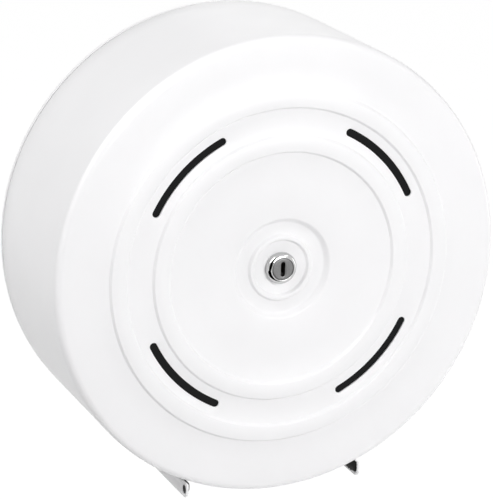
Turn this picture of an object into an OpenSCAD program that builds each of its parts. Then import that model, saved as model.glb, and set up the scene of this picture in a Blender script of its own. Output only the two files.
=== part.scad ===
// Jumbo toilet roll dispenser: a round pressed steel drum with a lock in the
// middle of its front. The cover pulls straight off the wall plate, which
// carries the roll spindle and two cheeks on either side of the paper outlet.
//
// Millimetres. The origin is on the drum's axis, on the wall plane. +Z is up
// and the front looks along -Y. Inside the modules a point is written as
// (across, up, depth), where depth is the distance forward from the wall.

/* [Cover] */
// Outside diameter of the drum
cover_d = 313; // [290:0.5:340]
// Distance from the wall to the flat front face
cover_depth = 120; // [112:0.5:140]
// Thickness of the cover's steel sheet
cover_t = 1.2; // [0.8:0.1:1.6]
// Outside radius where the front face turns into the side wall
front_round = 5; // [3:0.5:10]
// Gap between the cover's rear edge and the back plate's rim
seam_gap = 1.8; // [0.8:0.1:2.4]

/* [Face pressings] */
// Radius of the middle of the outer raised ring
outer_ring_r = 114.5; // [113:0.5:120]
// Width of the outer raised ring
outer_ring_w = 13; // [7:0.5:14]
// Radius of the middle of the inner raised ring
inner_ring_r = 85; // [70:0.5:87]
// Width of the inner raised ring
inner_ring_w = 13; // [7:0.5:14]
// Height of both raised rings above the face
ring_h = 2; // [1:0.1:2.5]
// Width of the slope at each side of a raised ring
ring_slope = 2.2; // [1.5:0.1:3]
// Outer radius of the round recess in the middle of the face
recess_r = 35; // [30:0.5:42]
// Depth of that recess
recess_depth = 3.4; // [1.5:0.1:4]
// Width of the slope at the edge of the recess
recess_slope = 4.7; // [2.5:0.1:5]
// Radius of the middle of the small raised ring round the lock
lock_ring_r = 20.7; // [18:0.1:23]
// Width of the small raised ring
lock_ring_w = 5.4; // [4:0.1:6]
// Height of the small raised ring above the recess
lock_ring_h = 1.6; // [0.6:0.1:2]
// Width of the slope at each side of the small raised ring
lock_ring_slope = 1.9; // [1:0.1:1.9]

/* [Sight slots] */
// Number of curved slots in the face
slot_count = 4; // [3:1:4]
// Radius of the slots' centre line
slot_r = 100; // [98:0.5:101]
// Width of a slot
slot_w = 5.3; // [4:0.1:8]
// Angle between the centres of a slot's two round ends
slot_sweep = 36.6; // [20:0.1:50]
// Thickness of the dark window ring behind the slots
window_t = 2; // [1:0.1:3]
// How far the window ring reaches past a slot's edge
window_lap = 5; // [4:0.1:5.5]
// Diameter of the studs that carry the window ring
stud_d = 3; // [2.5:0.1:4]
// Diameter of the push-on clips on those studs
clip_d = 9; // [8:0.5:12]
// Thickness of a push-on clip
clip_t = 0.5; // [0.3:0.1:0.8]

/* [Back plate] */
// Thickness of the back plate's steel sheet
plate_t = 1.5; // [1:0.1:2]
// How far the rim lies inside the cover's outside
rim_inset = 0.2; // [0.1:0.1:1]
// Height of the rim that shows behind the cover
rim_h = 4.2; // [3:0.1:8]
// Height of the collar that the cover slides over, above the rim
collar_h = 9; // [5:0.5:14]
// Clearance between the collar and the cover's inside
collar_clear = 0.5; // [0.3:0.1:1]
// Radius of the raised dish under the spindle
dish_r = 58; // [48:0.5:64]
// Height of that dish, which keeps the rivet heads off the wall
dish_h = 5; // [3.5:0.5:7]
// Width of the slope at the edge of the dish
dish_slope = 6; // [4:0.5:8]
// Gap between the plate's stiffening ring and the cheeks' feet
rib_gap = 1.5; // [0.5:0.1:4]
// Width of the stiffening ring
rib_w = 10; // [8:0.5:12]
// Height of the stiffening ring
rib_h = 3; // [2:0.5:4]
// Width of the slope at each side of the stiffening ring
rib_slope = 3.5; // [2:0.5:3.9]
// Distance across between the wall screw slots
wall_pitch_x = 170; // [150:1:175]
// Distance up between the wall screw slots
wall_pitch_z = 110; // [80:1:120]
// Width of a wall screw slot
wall_slot_w = 6.5; // [4.5:0.5:8]
// Length of a wall screw slot from end to end
wall_slot_l = 14; // [12:0.5:18]

/* [Cheeks] */
// Distance between the middles of the two cheeks
cheek_pitch = 125.5; // [110:0.5:140]
// Thickness of a cheek's steel sheet
cheek_t = 1.5; // [1:0.1:2]
// How far the cheeks' lower edges lie above the lowest point of the drum
cheek_rise = 0.75; // [-6:0.05:3]
// How far the cheeks' front edges lie behind the cover's face
cheek_setback = 0.5; // [0:0.5:4]
// Radius of a cheek's lower front corner
cheek_round = 5; // [3:0.5:8]
// Width of the lip that is turned inwards along a cheek's front edge
cheek_lip = 2.8; // [2.6:0.1:4]
// Width of the foot that is riveted to the back plate
foot_w = 13; // [10:0.5:16]
// Height of that foot
foot_h = 22; // [18:0.5:24]
// How far forward the gusset above the foot reaches
gusset = 9; // [4:0.5:10]
// Diameter of the largest roll that passes above the cheeks
roll_d = 285; // [260:1:286]
// Gap between the cheeks and the edges of the cover's outlet
outlet_gap = 1.6; // [0.8:0.1:3]
// Depth of the lip that is left between the outlet and the front face
outlet_lip = 7; // [6:0.5:12]
// Corner radius of the cover's outlet
outlet_round = 8; // [4:0.5:12]

/* [Tear blades] */
// Thickness of a tear blade
blade_t = 1.2; // [0.8:0.1:2]
// How far the blade's teeth stay above the cheek's lower edge
blade_rise = 2.2; // [1.8:0.1:3]
// Distance between the teeth
tooth_pitch = 3; // [2:0.5:5]
// Height of the teeth
tooth_h = 1; // [0.5:0.1:2]
// Diameter of the eyes that take the blade's pegs
eye_d = 6.4; // [4:0.1:7]
// Gap between the lip at the front and the first eye
eye_back = 0.1; // [0.1:0.1:4]
// Gap between an eye and the cheek's lower edge
eye_up = 2.4; // [2.2:0.1:3]
// Number of pegs on a blade
peg_count = 3; // [2:1:4]
// How far a peg's end lies inside the cheek's outer face
peg_sink = 0.3; // [0:0.1:0.8]

/* [Spindle] */
// Outside diameter of the spindle tube
spindle_d = 28; // [27:0.5:30]
// Wall of the spindle tube
spindle_wall = 2; // [1.8:0.1:2.2]
// Diameter of the spindle's riveted flange
flange_d = 68; // [60:1:76]
// Thickness of that flange
flange_t = 2.5; // [1.5:0.1:4]
// Radius of the circle that the flange rivets lie on
flange_rivet_r = 25; // [23:0.5:27]
// Number of flange rivets
flange_rivets_n = 4; // [3:1:8]
// Length of spindle in front of its retaining ring
spindle_nose = 6.6; // [5:0.1:12]
// Thickness of the thrust washers
washer_t = 1; // [0.5:0.1:2]
// Thickness of the retaining ring
circlip_t = 1.1; // [0.8:0.1:1.5]
// Diameter of the shanks of all rivets
rivet_d = 3.2; // [2.5:0.1:4]

/* [Roll hub] */
// Outside diameter of the hub that the roll's core sits on
hub_d = 50; // [48:0.5:56]
// Wall of the hub
hub_wall = 2.5; // [2:0.1:3]
// Diameter of the hub's rear flange
hub_flange_d = 96; // [80:1:110]
// Thickness of the rear flange
hub_flange_t = 3; // [2:0.1:4]
// Thickness of the hub's two end webs
hub_web_t = 4; // [3:0.1:6]
// Wall of the two bushes
bush_wall = 2.4; // [2:0.1:3]
// Thickness of the bushes' flanges
bush_flange_t = 1.5; // [1:0.1:2.5]
// Radial running clearance between spindle and bushes
run_fit = 0.05; // [0.02:0.01:0.1]

/* [Lock] */
// Diameter of the lock's round head
bezel_d = 21.6; // [20:0.1:24]
// Diameter of the flat top of that head
bezel_top_d = 15.8; // [15.7:0.1:19]
// Height of the head above the recess
bezel_h = 4.7; // [3.5:0.1:6]
// Height of the head's straight lower edge
bezel_edge = 1.3; // [0.8:0.1:2]
// Diameter of the plug's face
plug_face_d = 14.8; // [14:0.1:15.4]
// Diameter of the plug inside the lock body
plug_d = 11; // [10.4:0.1:11.6]
// Diameter of the threaded barrel
barrel_d = 16; // [15.5:0.1:17]
// Distance across the two flats of the barrel
barrel_flats = 14; // [13.5:0.1:15]
// Length of the barrel behind the recess
barrel_len = 13.6; // [13:0.1:17]
// Pitch of the barrel's thread
thread_pitch = 1.25; // [1:0.05:1.5]
// Height of the keyhole
keyhole_h = 10.2; // [8.6:0.1:11]
// Width of the keyhole
keyhole_w = 3; // [2.6:0.1:3.4]
// Number of wafers in the plug
wafer_count = 5; // [3:1:6]
// Thickness of a wafer
wafer_t = 0.7; // [0.5:0.1:0.9]
// Distance across the flats of the lock nut
nut_af = 21; // [20:0.5:23]
// Thickness of the lock nut
nut_t = 4; // [3:0.1:5]
// Thickness of the toothed washer under the nut
lock_washer_t = 0.8; // [0.5:0.1:1.2]
// Length of the cam
cam_l = 18; // [16:0.1:19]
// Width of the cam
cam_w = 6.4; // [6.2:0.1:7.2]
// Thickness of the cam
cam_t = 3; // [2:0.1:4]
// Thickness of the catch plate at the spindle's end
catch_t = 2.5; // [1.5:0.1:4]
// Gap between the catch and the lock barrel
catch_gap = 2; // [1:0.1:3]
// Gap between the catch and the cam behind it
cam_gap = 2; // [1:0.1:3]
// Clearance round the cam in the catch's slot
cam_clear = 0.5; // [0.3:0.1:1]
// Depth of the catch's spigot inside the spindle
spigot_l = 24; // [22:0.5:28]
// Diameter of the cross pin that holds the catch
pin_d = 3; // [2:0.1:4]

/* [Hidden] */
$fn = 96;

over = 1;            // how far a cutting shape runs past what it cuts
part_clear = 0.05;   // gap between pieces that are assembled tightly
run_gap = 0.2;       // end play between the hub and the washers
slope_steps = 5;     // straight steps that make up a pressed slope
round_steps = 6;     // straight steps that make up a rounded profile corner

// Cover
cover_r = cover_d / 2;
cover_in_r = cover_r - cover_t;
cover_rear = rim_h + seam_gap;
face_back = cover_depth - cover_t;
recess_floor = cover_depth - recess_depth;
recess_back = recess_floor - cover_t;

// Back plate
rim_r = cover_r - rim_inset;
collar_r = cover_in_r - collar_clear;
collar_in_r = collar_r - plate_t;
collar_top = rim_h + collar_h;
dish_front = dish_h + plate_t;

// Cheeks and outlet
cheek_x = cheek_pitch / 2;
cheek_in = cheek_x - cheek_t / 2;
cheek_out = cheek_x + cheek_t / 2;
blade_in = cheek_in - blade_t;
cheek_low = cheek_rise - cover_r;
cheek_front = cover_depth - cheek_setback;
outlet_half = cheek_out + outlet_gap;
outlet_front = cover_depth - outlet_lip;
tongue_clear = 1;
tongue_round = cheek_t - 0.1;
tongue_top = -(sqrt(pow(cover_r, 2) - pow(blade_in, 2)) + tongue_clear);
roll_clear = 1;
cheek_top = -sqrt(pow(roll_d / 2 + roll_clear, 2) - pow(cheek_in, 2));
shoulder = outlet_front - outlet_round - tongue_clear;
foot_margin = 1;
foot_low = -sqrt(pow(collar_in_r - foot_margin, 2) - pow(cheek_out, 2));
foot_high = foot_low + foot_h;
foot_front = plate_t + cheek_t;
foot_rivet_x = cheek_in - foot_w / 2;
foot_rivets = [foot_low + foot_h / 4, foot_high - foot_h / 4];
rib_r = norm([cheek_in - foot_w, foot_high]) - rib_gap - rib_w / 2;

// Tear blades
blade_rear = foot_front + over;
blade_gap = 0.2;
blade_front = cheek_front - cheek_t - blade_gap;
blade_low = cheek_low + blade_rise;
blade_top = tongue_top - part_clear;
blade_round = 4;
peg_r = eye_d / 2 - part_clear;
eye_first = cheek_front - cheek_t - eye_back - eye_d / 2;
eye_last = blade_rear + blade_round + eye_d / 2;
eyes = [for (i = [0:peg_count - 1]) eye_first + (eye_last - eye_first) * i / (peg_count - 1)];
eye_z = cheek_low + eye_up + eye_d / 2;

// Lock, catch and spindle, counted back from the recess in the face
barrel_rear = recess_floor - barrel_len;
catch_front = barrel_rear - catch_gap;
spindle_front = catch_front - catch_t;
cam_front = spindle_front - cam_gap;
cam_rear = cam_front - cam_t;
head_top = recess_floor + bezel_h;
spindle_r = spindle_d / 2;
spindle_in_r = spindle_r - spindle_wall;
groove_depth = 1;
flange_front = dish_front + flange_t;

// Hub, between the spindle's flange and its retaining ring
groove_front = spindle_front - spindle_nose;
groove_rear = groove_front - circlip_t - 2 * part_clear;
front_washer = groove_rear - part_clear - washer_t;
rear_washer = flange_front + part_clear;
hub_rear = rear_washer + washer_t + run_gap + bush_flange_t;
hub_front = front_washer - run_gap - bush_flange_t;
hub_r = hub_d / 2;
hub_in_r = hub_r - hub_wall;
bush_in_r = spindle_r + run_fit;
bush_out_r = bush_in_r + bush_wall;
bush_flange_r = bush_out_r + 2.5;
hub_bore_r = bush_out_r + part_clear / 2;

// Lock details
lock_fit = 0.05;
plug_r = plug_d / 2;
plug_face_r = plug_face_d / 2;
plug_head_t = 3;
stem_r = 3.1;
stem_square = 4.4;
screw_r = 1.5;
screw_depth = 8;
screw_head_r = 2.9;
screw_head_t = 1.9;
cam_washer_r = 3.1;
cam_washer_t = 0.7;
spigot_r = spindle_in_r - part_clear;
spigot_in_r = max(cam_l / 2 + cam_clear + 0.4, spigot_r - 2);
pin_depth = spindle_front - spigot_l + pin_d / 2 + 2.5;
thread_depth = 0.5;
wafer_w = plug_d * 0.55;
wafer_l = sqrt(pow(plug_d, 2) - pow(wafer_w, 2)) - 0.2;
wafer_margin = 1.5;
wafer_first = head_top - plug_head_t - wafer_margin;
wafer_step = (wafer_first - barrel_rear - wafer_margin) / wafer_count;
keyway_h = wafer_l * 0.7;
keyway_w = keyhole_w * 0.8;
lock_washer_r = nut_af / 2 + 1.5;

// Colours
white_paint = [0.95, 0.95, 0.94];
zinc = [0.72, 0.73, 0.74];
chrome = [0.8, 0.8, 0.8];
black_plastic = [0.05, 0.05, 0.05];
smoked = [0.04, 0.04, 0.045];
hub_grey = [0.62, 0.64, 0.66];
nylon = [0.9, 0.89, 0.84];
brass = [0.78, 0.66, 0.36];

// ---- Profile functions -------------------------------------------------

// Smooth step from 0 to 1 as x goes from 0 to 1
function ease(x) = x <= 0 ? 0 : x >= 1 ? 1 : (1 - cos(180 * x)) / 2;

// Height at radius r of a raised ring with a flat crest
function raised(r, mid, w, h, slope) = h * ease((w / 2 - abs(r - mid)) / slope);

// Radii at which a slope that starts at r0 is drawn
function slope_radii(r0, slope) = [for (i = [0:slope_steps]) r0 + slope * i / slope_steps];

// Radii at which a raised ring is drawn
function ring_radii(mid, w, slope) =
    concat(slope_radii(mid - w / 2, slope), slope_radii(mid + w / 2 - slope, slope));

// Points of an arc round a centre
function arc(centre, r, from, to) =
    [for (i = [0:round_steps])
        let (a = from + (to - from) * i / round_steps)
        centre + r * [cos(a), sin(a)]];

function reversed(list) = [for (i = [len(list) - 1:-1:0]) list[i]];

// Depth of the cover's outer face at radius r
function face_depth(r) =
    cover_depth
    + raised(r, outer_ring_r, outer_ring_w, ring_h, ring_slope)
    + raised(r, inner_ring_r, inner_ring_w, ring_h, ring_slope)
    - recess_depth * ease((recess_r - r) / recess_slope)
    + raised(r, lock_ring_r, lock_ring_w, lock_ring_h, lock_ring_slope);

// Depth of the back plate's wall side at radius r
function plate_depth(r) =
    dish_h * ease((dish_r - r) / dish_slope) + raised(r, rib_r, rib_w, rib_h, rib_slope);

// Depth of the rear face of wafer i, counted back from the plug's head
function wafer_depth(i) = wafer_first - (i + 0.5) * wafer_step;

// ---- Placing and shared shapes ------------------------------------------

// Turns (across, up, depth) into the part's own axes
module on_wall() {
    rotate([90, 0, 0]) children();
}

// A solid of revolution about the drum's axis from points (radius, depth)
module turned(points) {
    rotate_extrude() polygon(points);
}

// A plain ring on the drum's axis
module ring(r_in, r_out, rear, front) {
    translate([0, 0, rear])
        difference() {
            cylinder(r = r_out, h = front - rear);
            translate([0, 0, -over]) cylinder(r = r_in, h = front - rear + 2 * over);
        }
}

// A sheet in the (depth, up) plane, t thick, with its middle on the drum's axis plane
module upright_sheet(t) {
    translate([t / 2, 0, 0]) rotate([0, -90, 0]) linear_extrude(t) children();
}

// A flat-bottomed dome that stands on z = 0
module dome(r, h) {
    ball = (r * r + h * h) / (2 * h);
    intersection() {
        translate([0, 0, h - ball]) sphere(r = ball);
        translate([-r - over, -r - over, 0]) cube([2 * (r + over), 2 * (r + over), h + over]);
    }
}

// Repeats a child at the four wall screws
module at_wall_screws() {
    for (sx = [-1, 1], sy = [-1, 1])
        translate([sx * wall_pitch_x / 2, sy * wall_pitch_z / 2, 0]) children();
}

// Repeats a child at the rivets of both cheeks' feet
module at_foot_rivets() {
    for (side = [-1, 1], up = foot_rivets)
        translate([side * foot_rivet_x, up, 0]) children();
}

// Repeats a child at the rivets of the spindle's flange
module at_flange_rivets() {
    for (i = [0:flange_rivets_n - 1])
        rotate(45 + i * 360 / flange_rivets_n) translate([flange_rivet_r, 0, 0]) children();
}

// Repeats a child at the middle of each land between two slots
module at_window_studs() {
    for (i = [0:slot_count - 1])
        rotate(i * 360 / slot_count) translate([slot_r, 0, 0]) children();
}

// ---- Back plate, cheeks and blades ---------------------------------------

// A slot with round ends that lies across
module wall_slot() {
    reach = (wall_slot_l - wall_slot_w) / 2;
    for (s = [-1, 1])
        translate([s * reach, 0, -over]) cylinder(d = wall_slot_w, h = dish_front + rib_h);
    translate([-reach, -wall_slot_w / 2, -over])
        cube([2 * reach, wall_slot_w, dish_front + rib_h]);
}

module back_plate() {
    radii = concat([0], slope_radii(dish_r - dish_slope, dish_slope),
                   ring_radii(rib_r, rib_w, rib_slope));
    wall_side = [for (r = radii) [r, plate_depth(r)]];
    room_side = [for (r = reversed(radii)) [r, plate_depth(r) + plate_t]];
    rim = concat(arc([rim_r - plate_t, plate_t], plate_t, -90, 0),
                 [[rim_r, rim_h], [collar_r, rim_h], [collar_r, collar_top],
                  [collar_in_r, collar_top], [collar_in_r, plate_t]]);
    color(white_paint) on_wall() difference() {
        turned(concat(wall_side, rim, room_side));
        // the paper's way out, between the cheeks
        translate([-outlet_half, -cover_r - over, plate_t])
            cube([2 * outlet_half, cover_r + over + foot_low, collar_top]);
        at_wall_screws() wall_slot();
        at_foot_rivets() {
            translate([0, 0, -over]) cylinder(d = rivet_d + 2 * part_clear, h = plate_t + 2 * over);
            countersink(part_clear);
        }
        at_flange_rivets() translate([0, 0, dish_h - over])
            cylinder(d = rivet_d + 2 * part_clear, h = plate_t + 2 * over);
    }
}

// The flush rear head of a cheek rivet, or its seat when it is grown by extra
module countersink(extra) {
    sink = 1.2;
    cylinder(r1 = rivet_d * 0.95 + extra, r2 = rivet_d / 2 + extra, h = sink);
}

// Outline of a cheek in the (depth, up) plane
module cheek_outline() {
    difference() {
        polygon(concat(
            [[plate_t, cheek_low]],
            arc([cheek_front - cheek_round, cheek_low + cheek_round], cheek_round, -90, 0),
            arc([cheek_front - tongue_round, tongue_top - tongue_round], tongue_round, 0, 90),
            [[shoulder, tongue_top], [shoulder, cheek_top],
             [foot_front + gusset, cheek_top], [foot_front, foot_high], [plate_t, foot_high]]));
        for (d = eyes) translate([d, eye_z]) circle(d = eye_d);
    }
}

// Outline of the lip along a cheek's front edge and lower corner
module lip_outline() {
    corner = [cheek_front - cheek_round, cheek_low + cheek_round];
    polygon(concat(
        arc(corner, cheek_round, -90, 0),
        arc([cheek_front - tongue_round, tongue_top - tongue_round], tongue_round, 0, 90),
        [[cheek_front - cheek_t, tongue_top]],
        arc(corner, cheek_round - cheek_t, 0, -90)));
}

// The right cheek: a sheet along the depth with a foot and a lip turned inwards
module cheek() {
    on_wall() {
        translate([cheek_x, 0, 0]) upright_sheet(cheek_t) cheek_outline();
        translate([cheek_out - cheek_lip / 2, 0, 0]) upright_sheet(cheek_lip) lip_outline();
        difference() {
            translate([cheek_in - foot_w, foot_low, plate_t])
                cube([foot_w + cheek_t / 2, foot_h, cheek_t]);
            for (up = foot_rivets)
                translate([foot_rivet_x, up, 0])
                    cylinder(d = rivet_d + 2 * part_clear, h = foot_front + over);
        }
    }
}

module right_cheek() {
    color(white_paint) cheek();
}

module left_cheek() {
    color(white_paint) mirror([1, 0, 0]) cheek();
}

module cheek_rivets() {
    head_r = rivet_d;
    head_h = 1.4;
    color(zinc) on_wall() at_foot_rivets() {
        countersink(0);
        cylinder(d = rivet_d, h = foot_front + over / 4);
        translate([0, 0, foot_front]) dome(head_r, head_h);
    }
}

// Outline of a blade in the (depth, up) plane, with its teeth pointing down
module blade_outline() {
    teeth = floor((blade_front - blade_round - blade_rear) / tooth_pitch);
    root = blade_low + tooth_h;
    edge = [for (i = [0:teeth - 1], p = [[0, root], [tooth_pitch / 2, blade_low]])
        [blade_rear + i * tooth_pitch + p[0], p[1]]];
    polygon(concat(
        edge,
        arc([blade_front - blade_round, root + blade_round], blade_round, -90, 0),
        arc([blade_front - tongue_round, blade_top - tongue_round], tongue_round, 0, 90),
        [[blade_rear, blade_top]]));
}

// The right blade, with pegs that snap into the cheek's eyes
module tear_blade() {
    on_wall() {
        translate([cheek_in - blade_t / 2, 0, 0]) upright_sheet(blade_t) blade_outline();
        for (d = eyes)
            translate([cheek_in - blade_t / 2, eye_z, d]) rotate([0, 90, 0])
                cylinder(r = peg_r, h = blade_t / 2 + cheek_t - peg_sink);
    }
}

module right_tear_blade() {
    color(black_plastic) tear_blade();
}

module left_tear_blade() {
    color(black_plastic) mirror([1, 0, 0]) tear_blade();
}

// ---- Spindle and hub ------------------------------------------------------

module spindle_flange() {
    chamfer = flange_t / 3;
    color(zinc) on_wall() difference() {
        turned([[spindle_r + part_clear, dish_front], [flange_d / 2, dish_front],
                [flange_d / 2, flange_front - chamfer], [flange_d / 2 - chamfer, flange_front],
                [spindle_r + part_clear, flange_front]]);
        at_flange_rivets() translate([0, 0, dish_front - over])
            cylinder(d = rivet_d + 2 * part_clear, h = flange_t + 2 * over);
    }
}

// Rivets with a dome behind the plate and a flush front end, clear of the hub
module flange_rivets() {
    head_h = min(2.2, dish_h - 0.5);
    color(zinc) on_wall() at_flange_rivets() {
        translate([0, 0, dish_h - over / 4]) cylinder(d = rivet_d, h = plate_t + flange_t + over / 4);
        translate([0, 0, dish_h]) mirror([0, 0, 1]) dome(rivet_d, head_h);
    }
}

module spindle_tube() {
    groove_r = spindle_r - groove_depth;
    color(zinc) on_wall() difference() {
        ring(spindle_in_r, spindle_r, dish_front, spindle_front);
        ring(groove_r, spindle_r + over, groove_rear, groove_front);
        translate([-spindle_r - over, 0, pin_depth]) rotate([0, 90, 0])
            cylinder(d = pin_d + 2 * part_clear, h = spindle_d + 2 * over);
    }
}

module rear_thrust_washer() {
    color(nylon) on_wall()
        ring(spindle_r + part_clear, bush_flange_r, rear_washer, rear_washer + washer_t);
}

module front_thrust_washer() {
    color(nylon) on_wall()
        ring(spindle_r + part_clear, bush_flange_r, front_washer, front_washer + washer_t);
}

// A retaining ring in the spindle's groove, open at the bottom between two ears
module spindle_circlip() {
    inner = spindle_r - groove_depth + part_clear;
    outer = spindle_r + 1.8;
    ear_r = 1.9;
    ear_x = 3.4;
    rear = groove_rear + part_clear;
    mouth = 3;
    color(zinc) on_wall() difference() {
        union() {
            ring(inner, outer, rear, rear + circlip_t);
            for (s = [-1, 1])
                translate([s * ear_x, -outer, rear]) cylinder(r = ear_r, h = circlip_t);
        }
        translate([-mouth / 2, -outer - 2 * ear_r, rear - over])
            cube([mouth, outer, circlip_t + 2 * over]);
        for (s = [-1, 1])
            translate([s * ear_x, -outer, rear - over]) cylinder(r = 0.8, h = circlip_t + 2 * over);
    }
}

// The cap in the spindle's end: the cam passes its slot and turns behind it
module lock_catch() {
    slot_l = cam_l + 2 * cam_clear;
    slot_h = cam_w + 2 * cam_clear;
    color(brass) on_wall() difference() {
        union() {
            ring(spigot_in_r, spigot_r, spindle_front - spigot_l, spindle_front + catch_t / 2);
            translate([0, 0, spindle_front]) cylinder(r = spindle_r, h = catch_t);
        }
        intersection() {
            translate([-slot_l / 2, -slot_h / 2, spindle_front - over])
                cube([slot_l, slot_h, catch_t + 2 * over]);
            translate([0, 0, spindle_front - over])
                cylinder(d = slot_l, h = catch_t + 2 * over);
        }
        translate([-spindle_r - over, 0, pin_depth]) rotate([0, 90, 0])
            cylinder(d = pin_d + 2 * part_clear, h = spindle_d + 2 * over);
    }
}

// The cross pin, flush with the spindle so that the hub turns over it
module catch_pin() {
    sink = 0.4;
    color(zinc) on_wall() translate([-spindle_r + sink, 0, pin_depth]) rotate([0, 90, 0])
        cylinder(d = pin_d, h = spindle_d - 2 * sink);
}

// The hub that the roll's core sits on: a tube with two webs and a rear flange
module roll_hub() {
    edge = hub_flange_t / 2;
    nose = 1.2;
    web_hole_r = (hub_in_r - hub_bore_r) * 0.27;
    web_hole_at = (hub_in_r + hub_bore_r) / 2;
    web_holes = 6;
    color(hub_grey) on_wall() difference() {
        turned(concat(
            [[hub_bore_r, hub_rear]],
            arc([hub_flange_d / 2 - edge, hub_rear + edge], edge, -90, 90),
            [[hub_r, hub_rear + hub_flange_t], [hub_r, hub_front - nose], [hub_r - nose, hub_front],
             [hub_bore_r, hub_front], [hub_bore_r, hub_front - hub_web_t],
             [hub_in_r, hub_front - hub_web_t], [hub_in_r, hub_rear + hub_web_t],
             [hub_bore_r, hub_rear + hub_web_t]]));
        for (i = [0:web_holes - 1])
            rotate(i * 360 / web_holes) translate([web_hole_at, 0, hub_front - hub_web_t - over])
                cylinder(r = web_hole_r, h = hub_web_t + 2 * over);
    }
}

// A flanged bush; its sleeve points into the hub from the given end
module hub_bush(end, inward) {
    on_wall() translate([0, 0, end]) scale_z(inward) {
        ring(bush_in_r, bush_out_r, 0, hub_web_t + over);
        ring(bush_in_r, bush_flange_r, -bush_flange_t, 0);
    }
}

// Mirrors along the depth when way is -1
module scale_z(way) {
    if (way > 0) children();
    else mirror([0, 0, 1]) children();
}

module rear_hub_bush() {
    color(nylon) hub_bush(hub_rear, 1);
}

module front_hub_bush() {
    color(nylon) hub_bush(hub_front, -1);
}

// ---- Cover ------------------------------------------------------------------

// A curved slot with round ends, cut through depth h
module face_slot(h) {
    rotate(-slot_sweep / 2) rotate_extrude(angle = slot_sweep)
        translate([slot_r - slot_w / 2, 0]) square([slot_w, h]);
    for (s = [-1, 1])
        rotate(s * slot_sweep / 2) translate([slot_r, 0, 0]) cylinder(d = slot_w, h = h);
}

// The outlet's outline in the (across, depth) plane, open to the rear
module outlet_outline() {
    w = 2 * outlet_half;
    translate([-outlet_half, -over]) square([w, outlet_front - outlet_round + over]);
    translate([-outlet_half + outlet_round, -over])
        square([w - 2 * outlet_round, outlet_front + over]);
    for (s = [-1, 1])
        translate([s * (outlet_half - outlet_round), outlet_front - outlet_round])
            circle(r = outlet_round);
}

// The round barrel with its two flats, grown by extra
module barrel_shape(extra, rear, front) {
    intersection() {
        translate([0, 0, rear]) cylinder(d = barrel_d + 2 * extra, h = front - rear);
        translate([-barrel_flats / 2 - extra, -barrel_d, rear - over])
            cube([barrel_flats + 2 * extra, 2 * barrel_d, front - rear + 2 * over]);
    }
}

module cover_shell() {
    radii = concat([0],
        ring_radii(lock_ring_r, lock_ring_w, lock_ring_slope),
        slope_radii(recess_r - recess_slope, recess_slope),
        ring_radii(inner_ring_r, inner_ring_w, ring_slope),
        ring_radii(outer_ring_r, outer_ring_w, ring_slope));
    corner = [cover_r - front_round, cover_depth - front_round];
    outside = concat([for (r = radii) [r, face_depth(r)]],
                     arc(corner, front_round, 90, 0), [[cover_r, cover_rear]]);
    inside = concat([[cover_in_r, cover_rear]], arc(corner, front_round - cover_t, 0, 90),
                    [for (r = reversed(radii)) [r, face_depth(r) - cover_t]]);
    color(white_paint) on_wall() difference() {
        turned(concat(outside, inside));
        for (i = [0:slot_count - 1])
            rotate((i + 0.5) * 360 / slot_count)
                translate([0, 0, face_back - over]) face_slot(cover_t + ring_h + 2 * over);
        translate([0, -collar_in_r + outlet_round * 4, 0]) rotate([90, 0, 0])
            linear_extrude(cover_r) outlet_outline();
        barrel_shape(part_clear, recess_back - over, recess_floor + over);
    }
}

// The dark ring behind the slots
module sight_window() {
    inner = slot_r - slot_w / 2 - window_lap;
    outer = slot_r + slot_w / 2 + window_lap;
    color(smoked) on_wall() difference() {
        ring(inner, outer, face_back - window_t, face_back);
        at_window_studs() translate([0, 0, face_back - window_t - over])
            cylinder(d = stud_d + 2 * part_clear, h = window_t + 2 * over);
    }
}

module window_studs() {
    reach = 2.5;
    color(zinc) on_wall() at_window_studs()
        translate([0, 0, face_back - window_t - clip_t - reach])
            cylinder(d = stud_d, h = window_t + clip_t + reach);
}

// Push-on clips with three slits, pressed on the studs behind the window
module window_clips() {
    slit = 0.6;
    rear = face_back - window_t - clip_t;
    color(zinc) on_wall() at_window_studs() difference() {
        translate([0, 0, rear]) cylinder(d = clip_d, h = clip_t);
        translate([0, 0, rear - over]) cylinder(d = stud_d + 2 * part_clear, h = clip_t + 2 * over);
        for (a = [0, 120, 240])
            rotate(a) translate([0, -slit / 2, rear - over])
                cube([clip_d * 0.36, slit, clip_t + 2 * over]);
    }
}

// ---- Lock --------------------------------------------------------------------

// The chromed head and the threaded barrel behind it
module lock_body() {
    bezel_r = bezel_d / 2;
    top_r = bezel_top_d / 2;
    barrel_r = barrel_d / 2;
    turns = floor((barrel_len - over) / thread_pitch);
    thread = [for (i = [0:turns - 1], p = [[barrel_r, 0], [barrel_r - thread_depth, 0.5]])
        [p[0], barrel_rear + (i + p[1]) * thread_pitch]];
    shoulder_h = bezel_h - bezel_edge;
    crown = [for (i = [0:round_steps])
        let (a = 90 * i / round_steps)
        [top_r + (bezel_r - top_r) * cos(a), recess_floor + bezel_edge + shoulder_h * sin(a)]];
    face_bore = plug_face_r + lock_fit;
    head_floor = head_top - plug_head_t - part_clear;
    color(chrome) on_wall() difference() {
        turned(concat(thread, [[barrel_r, barrel_rear + turns * thread_pitch],
                               [barrel_r, recess_floor], [bezel_r, recess_floor]],
                      crown,
                      [[face_bore, head_top], [face_bore, head_floor],
                       [plug_r + lock_fit, head_floor], [plug_r + lock_fit, barrel_rear]]));
        for (a = [0, 180])
            rotate(a) translate([barrel_flats / 2, -barrel_d / 2, barrel_rear - over])
                cube([barrel_d, barrel_d, barrel_len + over]);
    }
}

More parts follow.
